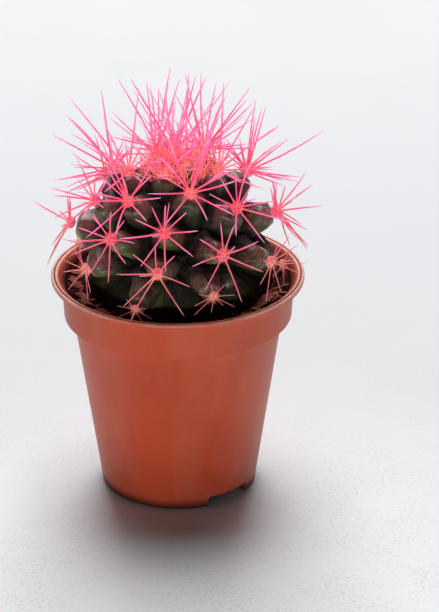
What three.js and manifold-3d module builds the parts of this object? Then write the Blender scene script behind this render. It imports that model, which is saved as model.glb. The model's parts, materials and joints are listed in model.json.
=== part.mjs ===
// A round cactus with dyed spines in a small plastic nursery pot.
// Millimetres, +Z up, standing on z = 0, with the middle of its outline over the origin.

import * as THREE from 'three';
import { mergeVertices } from 'three/addons/utils/BufferGeometryUtils.js';
import Module from 'manifold-3d';

const wasm = await Module();
wasm.setup();

// ---- Driving dimensions ----

const gap = 0.3; // left between neighbouring pieces

// Pot
const potHeight = 49.5;
const potSides = 48;
const lipRadius = 27.5;
const lipHeight = 1.1;
const lipInner = 26; // where the lip's flat top begins, inside of which it curves down into the pot
const collarRadius = 25.2; // just under the lip
const collarFoot = 24.8; // at its lower edge
const collarDrop = 9.8; // from the rim to the step under the collar
const bodyTopRadius = 22.8; // just under the step
const footRadius = 17;
const lipRound = 0.35; // how far the lip's edges are rounded off
const stepRise = 0.6; // of the sloping underside of the collar
const wall = 0.7;
const footWidth = 1.3; // of the ring that the pot stands on
const floorLow = 1.5;
const floorHigh = 2.3;
const notchHeight = 2.6; // two notches let water out at the foot
const notchWidth = 11;
const notchReach = 3; // inwards from the wall's outside
const notchTurn = 40; // degrees to the right of the front, with the other one opposite

// Soil
const soilTop = 45.4;
const soilLumps = 0.7;
const soilSides = 48;
const soilRings = [22.4, 20.4, 18.4, 16.6]; // radii of its lumpy top, from the wall to the plant

// Plant: the tips of its bumps lie on an egg-shaped skin, given by an angle "tilt" from the top
const bellyRadius = 22.6;
const bellyHeight = 57.35;
const capRise = 18.1; // from the belly up to the top
const bellyDrop = 21.45; // the same below the belly
const skinSides = 72;
const skinTilt = 114; // degrees, where the skin turns in under the plant
const tiltStepOfSkin = 3.8;
const bumpDepth = 6; // from the tips down to the grooves between them
const neckRadius = 14.6; // where the plant goes into the soil
const rootRadius = 3.2;
const rootTip = 19;

// Spiral of the bumps, each with a woolly cushion that carries spines
const goldenTurn = 137.508;
const firstTurn = 12.36; // degrees to the right of the front
const firstTilt = 33.7;
const tiltStep = 3.126;
const firstBump = -10;
const lastCushion = 24;
const lastBump = 31;
const rowLag = 24; // degrees by which the old rows at the left lag behind the spiral
const lagTilt = 80; // where the lag begins at the front, and over how many degrees it grows
const lagSpan = 30;
const lagLean = 0.57; // it begins higher up on the left than on the right
const lagBack = -175; // and dies away over lagFade degrees at the back
const lagFade = 55;

// Cushions and spines
const cushionRadius = 1.25;
const cushionHeight = 1.5;
const spineRadius = 0.38;
const spineClear = 0.16; // kept between spines of two cushions
const wallClear = 0.8; // kept to the pot, and the same to the soil and to the plant's skin
const soilClear = 0.6;
const skinClear = 0.9;
const youngSpread = 11.8; // length of the spines that spread, on the young cushions near the top
const bellySpread = 9.4; // the same round the belly
const oldSpread = 4.8; // and on the old ones by the soil

// Crown: a low dome of wool, out of which the bunches of the youngest bumps stand
const crownTilt = 20; // the bumps above this carry the crown's bunches
const domeTilt = 16.5;
const domeHeight = 1.5;
const domeEdge = 0.5;

// How the spines of a cushion stand, by its tilt: a ring that spreads, lifted by so many degrees, then
// central ones that reach so far, lean off the cushion's own direction and rise towards upright.
const habits = [
  { above: crownTilt, ring: 7, lift: [12, 46], central: 5, reach: 17, lean: 0.75, rise: 0.1 },
  { above: 48, ring: 9, lift: [8, 26], central: 5, reach: 18, lean: 0.6, rise: 0.05 },
  { above: 72, ring: 9, lift: [8, 24], central: 2, reach: 11, lean: 0.45, rise: 0.1 },
  { above: 86, ring: 8, lift: [8, 24], central: 1, reach: 9.4, lean: 0.3, rise: 0 },
  { above: 180, ring: 8, lift: [8, 24], central: 1, reach: 6, lean: 0.3, rise: 0 },
];

// Bark chips on the soil: turn and radius of the middle, then length, width and heading
const chipThickness = 0.9;
const chips = [
  { turn: 44, radius: 21.4, length: 4.6, width: 2.8, heading: 25 },
  { turn: 60, radius: 22.3, length: 4.2, width: 2, heading: 5 },
  { turn: 79, radius: 21.9, length: 4.8, width: 2.4, heading: -30 },
  { turn: 118, radius: 21.8, length: 4.6, width: 2.4, heading: 65 },
  { turn: 171, radius: 21.9, length: 4.2, width: 2.8, heading: 10 },
  { turn: -54, radius: 21.9, length: 4.4, width: 2.2, heading: -15 },
  { turn: -74, radius: 22.1, length: 3.8, width: 2.4, heading: 20 },
  { turn: -128, radius: 21.7, length: 5, width: 2.5, heading: 40 },
];

// ---- Colours and finishes ----

const finish = (colour, roughness) =>
  new THREE.MeshStandardMaterial({ color: colour, roughness, metalness: 0 });
const potFinish = finish(0xa5503c, 0.45);
const soilFinish = finish(0x2a1a14, 0.95);
const plantFinish = finish(0x2f3a2c, 0.4);
const spineFinish = finish(0xf2568a, 0.5);
const crownFinish = finish(0xf4638f, 0.55);
const barkFinish = finish(0x8a4a30, 0.9);

// ---- Numbers and solids ----

const degrees = Math.PI / 180;
const up = new THREE.Vector3(0, 0, 1);

let randomState = 20;
function random() {
  randomState = (randomState * 16807) % 2147483647;
  return randomState / 2147483647;
}
const between = (low, high) => low + (high - low) * random();

function smoothStep(x) {
  const t = Math.min(1, Math.max(0, x));
  return t * t * (3 - 2 * t);
}

// The place at a turn to the right of the front, seen from above.
function around(turn, radius, height) {
  const a = turn * degrees;
  return new THREE.Vector3(radius * Math.sin(a), -radius * Math.cos(a), height);
}

function solidOf(geometry) {
  const bare = new THREE.BufferGeometry();
  bare.setAttribute('position', geometry.getAttribute('position'));
  bare.setIndex(geometry.index);
  const merged = mergeVertices(bare, 1e-4);
  return new wasm.Manifold(
    new wasm.Mesh({
      numProp: 3,
      vertProperties: new Float32Array(merged.attributes.position.array),
      triVerts: new Uint32Array(merged.index.array),
    }),
  );
}

function geometryOf(solid) {
  const mesh = solid.getMesh();
  const geometry = new THREE.BufferGeometry();
  geometry.setAttribute('position', new THREE.BufferAttribute(mesh.vertProperties, 3));
  geometry.setIndex(new THREE.BufferAttribute(mesh.triVerts, 1));
  geometry.computeVertexNormals();
  return geometry;
}

const turnBetween = (from, to) => new THREE.Quaternion().setFromUnitVectors(from, to);
const joined = (solids) => solids.reduce((whole, next) => whole.add(next));

function turned(profile, sides) {
  const points = profile.map(([radius, height]) => new THREE.Vector2(radius, height));
  const lathe = new THREE.LatheGeometry(points, sides);
  lathe.rotateX(Math.PI / 2);
  return lathe;
}

const pieces = new THREE.Group();
function addPiece(name, geometry, material) {
  const mesh = new THREE.Mesh(geometry, material);
  mesh.name = name;
  pieces.add(mesh);
}

// ---- Pot ----

const stepHeight = potHeight - collarDrop;
const potSlope = (bodyTopRadius - footRadius) / stepHeight;
const outerAt = (height) => footRadius + potSlope * height;
const innerAt = (height) => outerAt(height) - wall;

function makePot() {
  const lipLow = potHeight - lipHeight;
  const profile = [
    [0, floorLow],
    [footRadius - footWidth, floorLow],
    [footRadius - footWidth, 0],
    [footRadius, 0],
    [bodyTopRadius, stepHeight],
    [collarFoot - stepRise / 2, stepHeight + 0.1],
    [collarFoot, stepHeight + stepRise],
    [collarRadius, lipLow],
    [lipRadius - lipRound, lipLow],
    [lipRadius, lipLow + lipRound],
    [lipRadius, potHeight - lipRound],
    [lipRadius - lipRound, potHeight],
    [lipInner, potHeight],
    [collarRadius, potHeight - lipHeight / 2],
    [collarRadius - wall, potHeight - lipHeight * 1.5],
    [collarFoot - wall, stepHeight + wall + stepRise],
    [innerAt(stepHeight), stepHeight + wall],
    [innerAt(floorHigh), floorHigh],
    [0, floorHigh],
  ];
  const notches = [notchTurn, notchTurn + 180].map((turn) => {
    const block = new THREE.BoxGeometry(notchWidth, notchReach * 2, notchHeight * 2);
    block.translate(0, -footRadius, 0);
    block.rotateZ(turn * degrees);
    return solidOf(block);
  });
  return geometryOf(solidOf(turned(profile, potSides)).subtract(joined(notches)));
}

// ---- Plant ----

const dropOf = (cosine) => (cosine > 0 ? capRise : bellyDrop) * cosine;

function skinPoint(turn, tilt) {
  const t = tilt * degrees;
  return around(turn, bellyRadius * Math.sin(t), bellyHeight + dropOf(Math.cos(t)));
}

function skinNormal(turn, tilt) {
  const t = tilt * degrees;
  const reach = Math.cos(t) > 0 ? capRise : bellyDrop;
  return around(turn, reach * Math.sin(t), bellyRadius * Math.cos(t)).normalize();
}

// The bumps follow a golden spiral, whose oldest rows lag behind at the left.
function spiralPlace(n) {
  const tilt = firstTilt + tiltStep * n;
  const raw = firstTurn - goldenTurn * n;
  const turn = raw - 360 * Math.round(raw / 360);
  const age = smoothStep((tilt - lagTilt - lagLean * turn) / lagSpan);
  const lag = rowLag * age * smoothStep((turn - lagBack) / lagFade);
  return { turn: turn + lag, tilt };
}

const bumps = [];
for (let n = firstBump; n <= lastBump; n += 1) {
  const { turn, tilt } = spiralPlace(n);
  bumps.push(skinPoint(turn, tilt));
}

// How far the skin lies under the tips: nothing on a tip, all of bumpDepth half-way between two tips,
// and less of it near the top, where the bumps are young.
function bumpInset(point, tilt) {
  let nearest = Infinity;
  let second = Infinity;
  for (const bump of bumps) {
    const distance = point.distanceTo(bump);
    if (distance < nearest) {
      second = nearest;
      nearest = distance;
    } else if (distance < second) {
      second = distance;
    }
  }
  const within = (second - nearest) / (second + nearest);
  const rise = 1 - (1 - within) ** 3;
  const depth = bumpDepth * (0.45 + 0.55 * smoothStep((tilt - 10) / 30));
  return depth * (1 - rise);
}

// Radius and height of the underside down to the soil, then of what the soil's socket takes in.
const neckPoints = [
  [neckRadius + 3, soilTop + 1.7],
  [neckRadius, soilTop + 0.4],
];
const rootPoints = [
  [neckRadius - 0.3, soilTop - 1],
  [neckRadius - 2.2, soilTop - 3.4],
  [neckRadius / 2, soilTop - 7.8],
  [rootRadius, soilTop - 12.4],
  [rootRadius * 0.7, soilTop - 21.4],
];

function makePlantBody() {
  const profile = [[0, bellyHeight + capRise]];
  for (let tilt = tiltStepOfSkin; tilt <= skinTilt; tilt += tiltStepOfSkin) {
    const edge = skinPoint(90, tilt);
    profile.push([edge.x, edge.z]);
  }
  const skinRings = profile.length;
  profile.push(...neckPoints, ...rootPoints, [0, rootTip]);
  const lathe = turned(profile.reverse(), skinSides);
  const place = lathe.getAttribute('position');
  const point = new THREE.Vector3();
  for (let i = 0; i < place.count; i += 1) {
    const ring = profile.length - 1 - (i % profile.length);
    if (ring >= skinRings) continue;
    point.fromBufferAttribute(place, i);
    const turn = Math.atan2(point.x, -point.y) / degrees;
    const tilt = ring * tiltStepOfSkin;
    const inset = bumpInset(point, tilt);
    point.addScaledVector(skinNormal(turn, tilt), -inset);
    place.setXYZ(i, point.x, point.y, point.z);
  }
  return geometryOf(solidOf(lathe));
}

// ---- Soil ----

function soilHeight(x, y) {
  const broad = Math.sin(0.7 * x + 1.3) * Math.cos(0.62 * y);
  const small = Math.sin(1.2 * y + 0.4) * Math.cos(1.05 * x + 2);
  return soilTop + soilLumps * (0.6 * broad + 0.4 * small);
}

function makeSoil() {
  const floor = floorHigh + gap;
  const side = (height) => innerAt(height) - gap;
  const collarSide = (height) => {
    const share = (height - stepHeight) / collarDrop;
    return collarFoot + (collarRadius - collarFoot) * share - wall - gap;
  };
  const socket = rootPoints.map(([radius, height]) => [radius + gap, height]);
  const profile = [
    [0, floor],
    [side(floor), floor],
    [side(stepHeight), stepHeight + wall + gap],
    [collarSide(stepHeight), stepHeight + wall + stepRise + gap],
    [collarSide(soilTop), soilTop],
    ...soilRings.map((radius) => [radius, soilTop]),
    [neckRadius + gap, soilTop],
    ...socket,
    [0, rootTip - gap],
  ];
  const lathe = turned(profile, soilSides);
  const place = lathe.getAttribute('position');
  for (let i = 0; i < place.count; i += 1) {
    if (place.getZ(i) < soilTop - 0.01) continue;
    place.setZ(i, soilHeight(place.getX(i), place.getY(i)));
  }
  return geometryOf(solidOf(lathe));
}

// ---- Spines ----

const placedSpines = [];
const cushions = [];

// The shortest way between two straight spines, less what their thickness takes there.
function spineGap(a, b) {
  const da = a.end.clone().sub(a.start);
  const db = b.end.clone().sub(b.start);
  const r = a.start.clone().sub(b.start);
  const aa = da.dot(da);
  const bb = db.dot(db);
  const ab = da.dot(db);
  const ar = da.dot(r);
  const br = db.dot(r);
  const cross = aa * bb - ab * ab;
  let s = cross > 1e-9 ? Math.min(1, Math.max(0, (ab * br - ar * bb) / cross)) : 0;
  const t = Math.min(1, Math.max(0, (ab * s + br) / bb));
  s = Math.min(1, Math.max(0, (ab * t - ar) / aa));
  const near = a.start.clone().addScaledVector(da, s);
  const far = b.start.clone().addScaledVector(db, t);
  return near.distanceTo(far) - spineRadius * (2 - s - t);
}

function heightOverSkin(point) {
  const radius = Math.hypot(point.x, point.y);
  const rise = point.z - bellyHeight;
  const reach = rise > 0 ? capRise : bellyDrop;
  const tilt = Math.atan2(radius / bellyRadius, rise / reach) / degrees;
  const scale = Math.hypot(radius / bellyRadius, rise / reach);
  const turn = Math.atan2(point.x, -point.y) / degrees;
  const skin = skinPoint(turn, tilt);
  const reachOfSkin = Math.hypot(skin.x, skin.y, skin.z - bellyHeight);
  return (scale - 1) * reachOfSkin + bumpInset(skin, tilt);
}

function isInPot(point) {
  const radius = Math.hypot(point.x, point.y);
  if (point.z > potHeight + wallClear) return false;
  return radius > collarRadius - wall - wallClear || point.z < soilTop + soilLumps + soilClear;
}

function isClear(spine) {
  const way = spine.end.clone().sub(spine.start);
  const length = way.length();
  for (let along = 2; along < length + 0.5; along += 1) {
    const point = spine.start.clone().addScaledVector(way, Math.min(1, along / length));
    if (isInPot(point)) return false;
    if (along > 2.5 && heightOverSkin(point) < skinClear) return false;
  }
  for (const other of placedSpines) {
    if (other.cushion !== spine.cushion && spineGap(spine, other) < spineClear) return false;
  }
  for (const cushion of cushions) {
    if (cushion === spine.cushion) continue;
    const share = cushion.centre.clone().sub(spine.start).dot(way) / length ** 2;
    const nearest = spine.start.clone().addScaledVector(way, Math.min(1, Math.max(0, share)));
    if (nearest.distanceTo(cushion.centre) < cushionRadius + spineRadius + gap) return false;
  }
  return true;
}

// A spine that would cross another piece is swung aside a little, then lifted, then grown shorter.
const shares = [1, 0.86, 0.72, 0.58];
const lifts = [0, 0.12, 0.26];
const swings = [0, 0.09, -0.09, 0.18, -0.18, 0.28, -0.28];

function growSpine(cushion, start, aim, length) {
  const aside = new THREE.Vector3().crossVectors(cushion.normal, aim).normalize();
  for (const share of shares) {
    for (const lift of lifts) {
      for (const swing of swings) {
        const way = aim.clone().addScaledVector(aside, swing).addScaledVector(cushion.normal, lift);
        const end = start.clone().addScaledVector(way.normalize(), length * share);
        const spine = { start, end, cushion };
        if (isClear(spine)) {
          placedSpines.push(spine);
          return spine;
        }
      }
    }
  }
  return null;
}

function needleSolid({ start, end }) {
  const way = end.clone().sub(start);
  const length = way.length();
  const needle = new THREE.ConeGeometry(spineRadius, length, 3);
  needle.translate(0, length / 2, 0);
  needle.applyQuaternion(turnBetween(new THREE.Vector3(0, 1, 0), way.normalize()));
  needle.translate(start.x, start.y, start.z);
  return solidOf(needle);
}

function padSolid(centre, normal) {
  const pad = new THREE.SphereGeometry(1, 6, 4);
  pad.rotateX(Math.PI / 2);
  pad.scale(cushionRadius, cushionRadius, cushionHeight / 2);
  pad.applyQuaternion(turnBetween(up, normal));
  pad.translate(centre.x, centre.y, centre.z);
  return solidOf(pad);
}

// Spines spread shorter from the shoulder down to the belly, and shorter still towards the soil.
function spreadLength(tilt) {
  const belly = (youngSpread - bellySpread) * smoothStep((tilt - 38) / 22);
  const old = (bellySpread - oldSpread) * smoothStep((tilt - 86) / 18);
  return youngSpread - belly - old;
}

function bunchSolids(cushion) {
  const { centre, normal, tilt } = cushion;
  const habit = habits.find(({ above }) => tilt < above);
  const uphill = up.clone().addScaledVector(normal, -normal.z).normalize();
  const sideways = new THREE.Vector3().crossVectors(normal, uphill);
  const solids = [padSolid(centre, normal)];
  const grow = (aim, length) => {
    const spine = growSpine(cushion, centre, aim.normalize(), length);
    if (spine) solids.push(needleSolid(spine));
  };
  const firstAngle = between(0, 360 / habit.ring);
  for (let i = 0; i < habit.ring; i += 1) {
    const angle = (firstAngle + (360 / habit.ring) * i + between(-9, 9)) * degrees;
    const lift = Math.tan(between(...habit.lift) * degrees);
    const length = spreadLength(tilt) * (0.9 - 0.2 * Math.cos(angle)) * between(0.88, 1.1);
    const aim = uphill.clone().multiplyScalar(Math.cos(angle)).addScaledVector(sideways, Math.sin(angle));
    grow(aim.addScaledVector(normal, lift), length);
  }
  for (let i = 0; i < habit.central; i += 1) {
    const angle = (between(-50, 50) + (360 / habit.central) * i) * degrees;
    const aim = normal.clone().addScaledVector(up, habit.rise);
    aim.addScaledVector(uphill, habit.lean * Math.cos(angle));
    aim.addScaledVector(sideways, habit.lean * Math.sin(angle));
    grow(aim, habit.reach * between(0.78, 1.15));
  }
  return solids;
}

function makeCrown(bunches) {
  const profile = [];
  for (let tilt = 0; tilt <= domeTilt; tilt += domeTilt / 4) {
    const under = skinPoint(90, tilt).addScaledVector(skinNormal(90, tilt), gap);
    profile.push([under.x, under.z]);
  }
  for (let tilt = domeTilt; tilt >= 0; tilt -= domeTilt / 4) {
    const bulge = Math.cos((tilt / domeTilt) * 80 * degrees);
    const thickness = domeEdge + (domeHeight - domeEdge) * bulge;
    const over = skinPoint(90, tilt).addScaledVector(skinNormal(90, tilt), gap + thickness);
    profile.push([over.x, over.z]);
  }
  const dome = solidOf(turned(profile, 20));
  return geometryOf(joined([dome, ...bunches.flatMap(bunchSolids)]));
}

for (let n = firstBump; n <= lastCushion; n += 1) {
  const { turn, tilt } = spiralPlace(n);
  const normal = skinNormal(turn, tilt);
  const stand = gap + cushionHeight / 2 + (tilt < domeTilt ? domeEdge : 0);
  const centre = skinPoint(turn, tilt).addScaledVector(normal, stand);
  cushions.push({ centre, normal, tilt });
}
const crownBunches = cushions.filter((cushion) => cushion.tilt < crownTilt);
const sideCushions = cushions.filter((cushion) => cushion.tilt >= crownTilt);

// ---- Bark chips ----

function makeChip({ turn, radius, length, width, heading }) {
  const corners = [
    [-0.5, -0.35],
    [0.3, -0.5],
    [0.5, 0.1],
    [0.1, 0.5],
    [-0.4, 0.4],
  ].map(([along, across]) => new THREE.Vector2(along * length, across * width));
  const chip = new THREE.ExtrudeGeometry(new THREE.Shape(corners), {
    depth: chipThickness,
    bevelEnabled: false,
  });
  const middle = around(turn, radius, 0);
  const angle = (turn + heading) * degrees;
  const under = corners.map((corner) => corner.clone().rotateAround(new THREE.Vector2(), angle));
  const heights = under.map((corner) => soilHeight(middle.x + corner.x, middle.y + corner.y));
  const seat = Math.max(soilHeight(middle.x, middle.y), ...heights) + gap;
  chip.rotateZ(angle);
  chip.translate(middle.x, middle.y, seat);
  return geometryOf(solidOf(chip));
}

// ---- The whole ----

addPiece('pot', makePot(), potFinish);
addPiece('soil', makeSoil(), soilFinish);
addPiece('plant_body', makePlantBody(), plantFinish);
addPiece('crown_tuft', makeCrown(crownBunches), crownFinish);
sideCushions.forEach((cushion, i) => {
  const number = String(i + 1).padStart(2, '0');
  addPiece('spine_cushion_' + number, geometryOf(joined(bunchSolids(cushion))), spineFinish);
});
chips.forEach((chip, i) => addPiece('bark_chip_' + (i + 1), makeChip(chip), barkFinish));

const outline = new THREE.Box3().setFromObject(pieces);
const middle = outline.getCenter(new THREE.Vector3());
pieces.position.set(-middle.x, -middle.y, 0);

const part = new THREE.Group();
part.add(pieces);
export default part;
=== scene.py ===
import json
import math
import random

import bmesh
import bpy
import numpy as np
from mathutils import Matrix, Vector, noise

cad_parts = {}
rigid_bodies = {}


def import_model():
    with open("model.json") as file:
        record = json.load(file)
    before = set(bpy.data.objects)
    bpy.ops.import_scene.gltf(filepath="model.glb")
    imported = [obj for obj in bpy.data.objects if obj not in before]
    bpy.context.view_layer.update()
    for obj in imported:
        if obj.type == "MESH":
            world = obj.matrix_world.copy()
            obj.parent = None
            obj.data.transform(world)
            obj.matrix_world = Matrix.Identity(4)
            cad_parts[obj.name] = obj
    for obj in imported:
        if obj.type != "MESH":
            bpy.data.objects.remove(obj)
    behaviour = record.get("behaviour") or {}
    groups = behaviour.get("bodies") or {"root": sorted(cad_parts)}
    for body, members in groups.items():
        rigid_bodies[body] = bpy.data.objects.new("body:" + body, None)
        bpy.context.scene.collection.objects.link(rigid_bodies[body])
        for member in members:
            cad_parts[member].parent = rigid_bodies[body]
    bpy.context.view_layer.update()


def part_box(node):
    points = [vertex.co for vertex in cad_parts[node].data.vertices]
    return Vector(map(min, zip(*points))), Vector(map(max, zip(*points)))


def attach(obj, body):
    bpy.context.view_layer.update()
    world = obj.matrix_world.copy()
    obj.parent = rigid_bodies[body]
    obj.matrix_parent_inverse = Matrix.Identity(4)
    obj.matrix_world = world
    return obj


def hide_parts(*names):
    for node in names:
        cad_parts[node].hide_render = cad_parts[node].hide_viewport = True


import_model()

# Lengths are in millimetres round the pot's own axis, and become metres when they reach a mesh.
mm = 0.001
potLow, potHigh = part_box("pot")
axis = Vector(((potLow.x + potHigh.x) / 2, (potLow.y + potHigh.y) / 2, 0))
up = np.array([0.0, 0.0, 1.0])
fanRadius = 2.0  # of the fan of faces in the middle of a floor
print("frame: pot axis at", [round(value / mm, 3) for value in axis])

# small tools for modelling

def inPlace(point):
    return axis + Vector(point) * mm


def clearSelection():
    for piece in list(bpy.context.selected_objects):
        piece.select_set(False)


def pick(piece):
    clearSelection()
    piece.select_set(True)
    bpy.context.view_layer.objects.active = piece


def startEditing(piece):
    pick(piece)
    bpy.ops.object.mode_set(mode="EDIT")
    bpy.ops.mesh.select_all(action="SELECT")


def stopEditing():
    bpy.ops.object.mode_set(mode="OBJECT")


def selectEdges(piece, isWanted):
    bpy.ops.mesh.select_all(action="DESELECT")
    bpy.ops.mesh.select_mode(type="EDGE")
    mesh = bmesh.from_edit_mesh(piece.data)
    for edge in mesh.edges:
        if isWanted(edge):
            edge.select_set(True)
    bmesh.update_edit_mesh(piece.data)


def named(name):
    piece = bpy.context.object
    piece.name = name
    piece.data.name = name
    return piece


def settle(piece):
    # the place goes into the mesh, and the object stands at the origin
    pick(piece)
    bpy.ops.object.transform_apply(location=True, rotation=True, scale=True)


def addBall(name, segments, rings, radius=1, place=(0, 0, 0)):
    clearSelection()
    bpy.ops.mesh.primitive_uv_sphere_add(segments=segments, ring_count=rings, radius=radius, location=place)
    ball = named(name)
    settle(ball)
    return ball


def pointsOf(piece):
    points = np.empty(len(piece.data.vertices) * 3)
    piece.data.vertices.foreach_get("co", points)
    return points.reshape(-1, 3)


def movePoints(piece, points):
    piece.data.vertices.foreach_set("co", points.astype(np.float32).ravel())
    piece.data.update()


def localPoints(piece):
    return (pointsOf(piece) - np.array(axis)) / mm


def setLocalPoints(piece, points):
    movePoints(piece, points * mm + np.array(axis))


def writeAttribute(piece, name, values):
    layer = piece.data.attributes.new(name, "FLOAT", "POINT")
    layer.data.foreach_set("value", np.asarray(values, np.float32))


def radiusOf(points):
    return np.hypot(points[:, 0], points[:, 1])


def turnOf(points):
    # in degrees round the pot, from the front
    return np.degrees(np.arctan2(points[:, 0], -points[:, 1]))


def noiseAt(points, scale=1, seed=(0, 0, 0)):
    return np.array([noise.noise(Vector(point) * scale + Vector(seed)) for point in points])


def layCopy(pattern, points):
    copy = bpy.data.objects.new(pattern.name, pattern.data.copy())
    bpy.context.scene.collection.objects.link(copy)
    setLocalPoints(copy, points)
    return copy


def joinAll(parts, name):
    clearSelection()
    for part in parts:
        part.select_set(True)
    bpy.context.view_layer.objects.active = parts[0]
    if len(parts) > 1:
        bpy.ops.object.join()
    return named(name)


def applyModifiers(piece):
    pick(piece)
    for modifier in list(piece.modifiers):
        bpy.ops.object.modifier_apply(modifier=modifier.name)


def drawRim(piece, profile, closeAt, scale=mm, middle=axis):
    # the open rim is drawn from point to point of a profile, as clay on a wheel, and then closed
    selectEdges(piece, lambda edge: edge.is_boundary)
    for (oldRadius, oldHeight), (newRadius, newHeight) in zip(profile, profile[1:]):
        bpy.ops.mesh.extrude_edges_move(
            TRANSFORM_OT_translate={"value": (0, 0, (newHeight - oldHeight) * scale)})
        share = newRadius / oldRadius
        bpy.ops.transform.resize(
            value=(share, share, 1), center_override=middle + Vector((0, 0, newHeight * scale)))
    bpy.ops.mesh.extrude_edges_move(
        TRANSFORM_OT_translate={"value": (0, 0, (closeAt - profile[-1][1]) * scale)})
    bpy.ops.mesh.merge(type="CENTER")
    bpy.ops.mesh.select_all(action="SELECT")
    bpy.ops.mesh.normals_make_consistent(inside=False)
    stopEditing()


def drawOut(profile, sides, name, scale=mm, middle=axis):
    # a turned piece starts as a disc, at the first point of its profile
    radius, height = profile[0]
    clearSelection()
    bpy.ops.mesh.primitive_circle_add(
        vertices=sides, radius=radius * scale, fill_type="TRIFAN",
        location=middle + Vector((0, 0, height * scale)))
    piece = named(name)
    settle(piece)
    startEditing(piece)
    drawRim(piece, profile, profile[-1][1], scale, middle)
    return piece


def roundRings(piece, rings, width, segments):
    # rounds the circular edges that lie at a radius and height of the list
    def liesOnRing(edge):
        first, second = ((corner.co - axis) / mm for corner in edge.verts)
        return abs(first.z - second.z) <= 0.01 and any(
            abs(first.xy.length - radius) + abs(second.xy.length - radius) < 0.04
            and abs(first.z - height) < 0.02 for radius, height in rings)

    startEditing(piece)
    selectEdges(piece, liesOnRing)
    bpy.ops.mesh.bevel(offset=width * mm, segments=segments, affect="EDGES")
    stopEditing()


def smoothAll(piece):
    pick(piece)
    bpy.ops.object.shade_smooth()


def smoothUnder(piece, degrees):
    pick(piece)
    bpy.ops.object.shade_smooth_by_angle(angle=math.radians(degrees))


def paint(parts, finish):
    for part in parts:
        part.data.materials.append(finish)


def keep(piece, slot, finish, *nodes):
    if finish:
        piece.data.materials.clear()
        piece.data.materials.append(finish)
    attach(piece, "root")
    if nodes:
        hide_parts(*nodes)
    return piece


# shader maths

class Wire:
    # a socket that can be added, multiplied and so on
    def __init__(self, tree, socket):
        self.tree = tree
        self.socket = socket

    def maths(self, operation, *values, clamp=False):
        node = self.tree.nodes.new("ShaderNodeMath")
        node.operation = operation
        node.use_clamp = clamp
        for slot, value in zip(node.inputs, values):
            plug(self.tree, slot, value)
        return Wire(self.tree, node.outputs[0])

    def __add__(self, other):
        return self.maths("ADD", self, other)

    def __radd__(self, other):
        return self.maths("ADD", other, self)

    def __sub__(self, other):
        return self.maths("SUBTRACT", self, other)

    def __rsub__(self, other):
        return self.maths("SUBTRACT", other, self)

    def __mul__(self, other):
        return self.maths("MULTIPLY", self, other)

    def __rmul__(self, other):
        return self.maths("MULTIPLY", other, self)

    def __truediv__(self, other):
        return self.maths("DIVIDE", self, other)

    def __abs__(self):
        return self.maths("ABSOLUTE", self)

    def clamped(self):
        return self.maths("ADD", self, 0.0, clamp=True)

    def over(self, low, high):
        # 0 below low and 1 above high, smooth between them
        node = self.tree.nodes.new("ShaderNodeMapRange")
        node.interpolation_type = "SMOOTHSTEP"
        for slot, value in zip(("Value", "From Min", "From Max"), (self, low, high)):
            plug(self.tree, node.inputs[slot], value)
        return Wire(self.tree, node.outputs["Result"])


def fromHex(code):
    # linear colour of an sRGB code such as a5503c
    shares = [int(code[i:i + 2], 16) / 255 for i in (0, 2, 4)]
    return tuple(s / 12.92 if s <= 0.04045 else ((s + 0.055) / 1.055) ** 2.4 for s in shares)


def plug(tree, slot, value):
    # a wire is linked, a text is the code of a colour, and a number is set as it is
    if isinstance(value, Wire):
        tree.links.new(value.socket, slot)
    elif isinstance(value, str):
        slot.default_value = (*fromHex(value), 1)
    else:
        slot.default_value = value


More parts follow.
